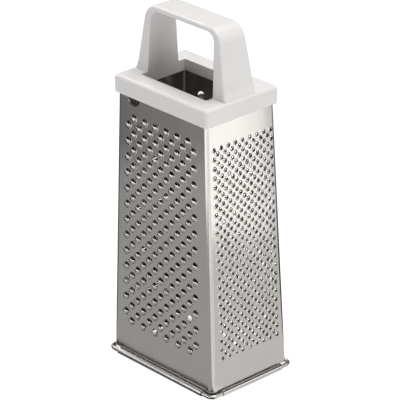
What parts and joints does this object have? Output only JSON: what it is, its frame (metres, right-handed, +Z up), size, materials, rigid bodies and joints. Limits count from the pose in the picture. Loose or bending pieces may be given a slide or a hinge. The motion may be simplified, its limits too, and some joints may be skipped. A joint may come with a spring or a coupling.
{
  "type": "box grater",
  "caption": "Free-standing kitchen box grater: tapered folded steel body with grating, rasping and slicing faces, wired rim and a white cap with an arched carrying handle.",
  "frame": {"origin": "on the ground under the middle of the body, at the centre of the bounding box's base", "axes": "+Z up through the handle, X along the wide faces, Y across them; the coarse face looks toward -Y and the fine face toward +X"},
  "size_m": [0.0946, 0.0676, 0.2224],
  "materials": {
    "white_plastic": "smooth white moulding with a soft sheen",
    "steel_sheet": "bright satin sheet, polished along the folds and at the teeth",
    "steel_wire": "plain drawn wire"
  },
  "bodies": {
    "root": {"cap": "white_plastic", "coarse_face": "steel_sheet", "fine_face": "steel_sheet", "large_face": "steel_sheet", "slicing_face": "steel_sheet", "rim_wire": "steel_wire"}
  },
  "joints": []
}
